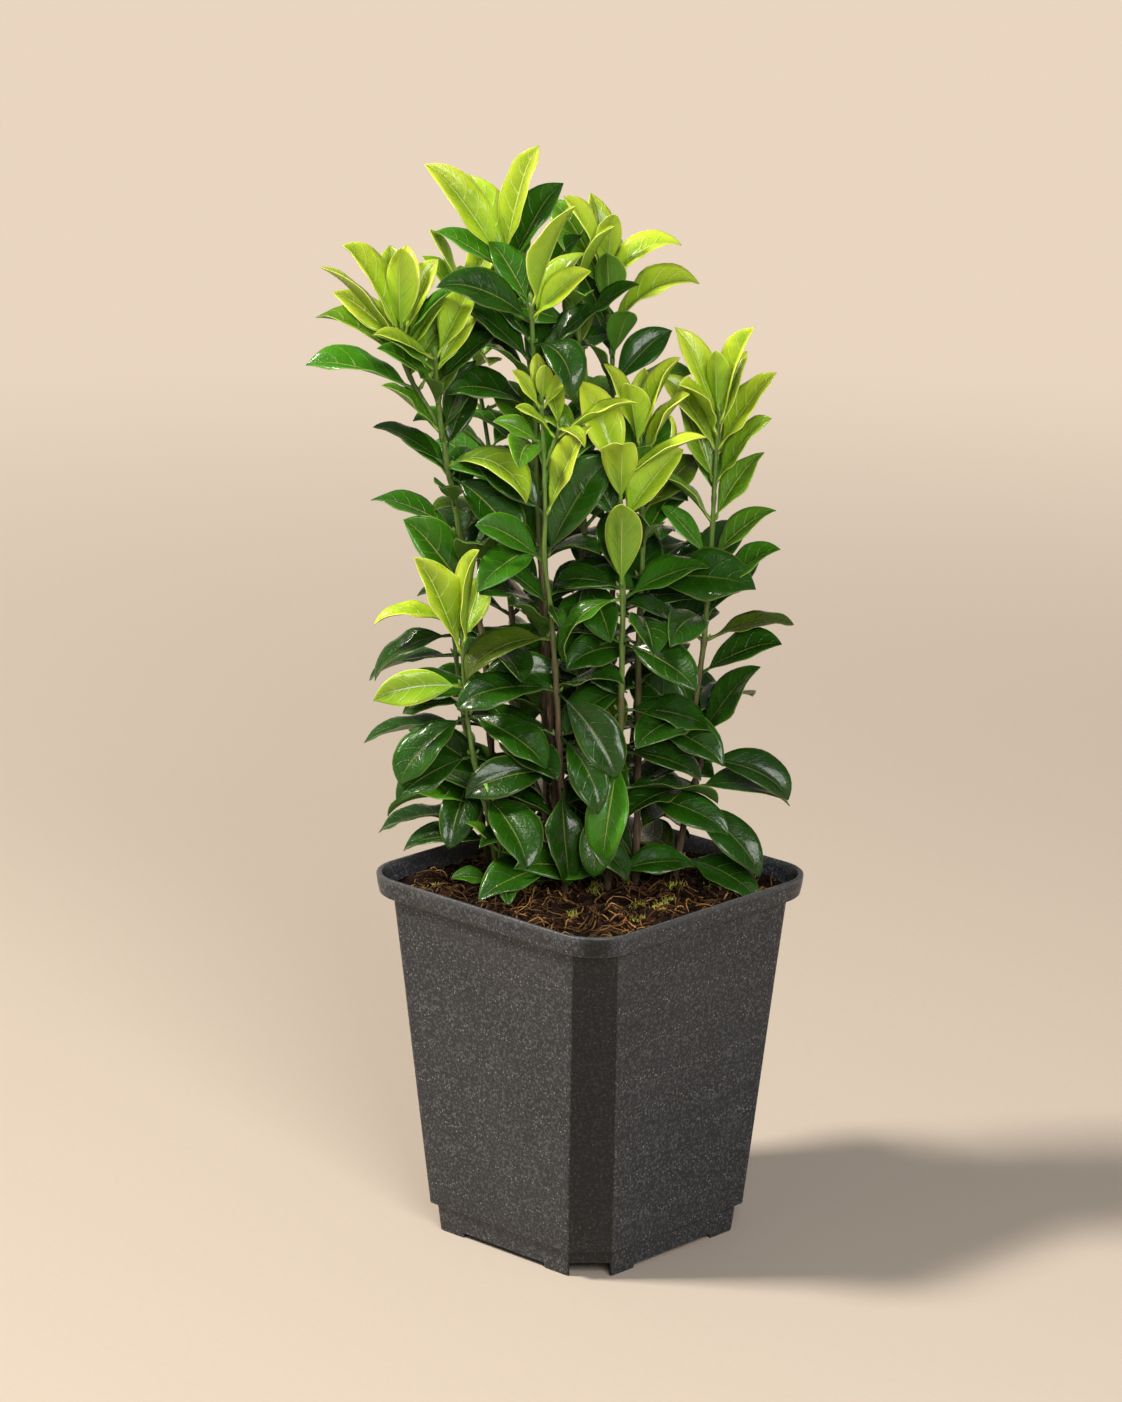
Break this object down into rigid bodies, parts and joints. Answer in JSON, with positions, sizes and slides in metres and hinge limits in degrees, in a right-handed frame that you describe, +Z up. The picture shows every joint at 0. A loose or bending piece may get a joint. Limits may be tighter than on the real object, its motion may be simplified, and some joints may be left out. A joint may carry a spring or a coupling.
{
  "type": "potted japanese spindle",
  "caption": "Bushy evergreen Japanese spindle with opposite glossy leaves and yellow-green young tips, growing in a square tapered grey plastic nursery pot filled with potting soil.",
  "frame": {"origin": "on the surface that the pot's feet stand on, under the middle of the whole object's box; the pot's own axis is at x = 9.3 mm, y = -2.9 mm", "axes": "+Z up along the pot's axis; the pot's sides lie along X and Y; the plant leans towards -X and -Y"},
  "size_m": [0.1295, 0.1296, 0.3658],
  "materials": {
    "recycled_plastic": "charcoal grey recycled plastic, satin matte with fine light specks",
    "potting_mix": "moist brown peat and bark with straw-coloured fibres",
    "green_stem": "green stem, browner low down, with yellow-green young leaves at its tip",
    "grown_leaf": "glossy dark green leaf with a thin pale margin",
    "young_leaf": "glossy yellow-green young leaf"
  },
  "bodies": {
    "root": {"back_middle_leaf_25": "grown_leaf", "back_middle_stem": "green_stem", "back_right_leaf_05": "young_leaf", "back_right_leaf_08": "young_leaf", "back_right_leaf_09": "grown_leaf", "back_right_leaf_28": "grown_leaf", "back_right_stem": "green_stem", "far_left_leaf_09": "grown_leaf", "far_left_leaf_11": "grown_leaf", "far_left_leaf_13": "grown_leaf", "far_left_leaf_15": "grown_leaf", "far_left_stem": "green_stem", "front_left_leaf_09": "grown_leaf", "front_left_leaf_15": "grown_leaf", "front_left_leaf_16": "grown_leaf", "front_left_stem": "green_stem", "front_right_leaf_07": "young_leaf", "front_right_leaf_17": "grown_leaf", "front_right_leaf_19": "grown_leaf", "front_right_leaf_20": "grown_leaf", "front_right_stem": "green_stem", "inner_right_leaf_13": "grown_leaf", "inner_right_leaf_24": "grown_leaf", "inner_right_stem": "green_stem", "left_leaf_03": "young_leaf", "left_leaf_08": "young_leaf", "left_leaf_14": "grown_leaf", "left_leaf_18": "young_leaf", "left_leaf_27": "grown_leaf", "left_leaf_29": "grown_leaf", "left_leaf_33": "grown_leaf", "left_leaf_37": "grown_leaf", "left_stem": "green_stem", "low_left_leaf_02": "young_leaf", "low_left_leaf_03": "young_leaf", "low_left_leaf_08": "grown_leaf", "low_left_leaf_10": "grown_leaf", "low_left_leaf_11": "grown_leaf", "low_left_stem": "green_stem", "middle_leaf_01": "young_leaf", "middle_leaf_05": "grown_leaf", "middle_leaf_31": "grown_leaf", "middle_stem": "green_stem", "pot": "recycled_plastic", "potting_soil": "potting_mix", "rear_left_leaf_29": "grown_leaf", "rear_left_stem": "green_stem", "rear_right_stem": "green_stem", "right_leaf_03": "young_leaf", "right_leaf_28": "grown_leaf", "right_leaf_32": "grown_leaf", "right_leaf_34": "grown_leaf", "right_stem": "green_stem", "sprout_stem": "green_stem", "tall_leaf_01": "young_leaf", "tall_leaf_02": "young_leaf", "tall_leaf_31": "grown_leaf", "tall_stem": "green_stem"}
  },
  "joints": []
}
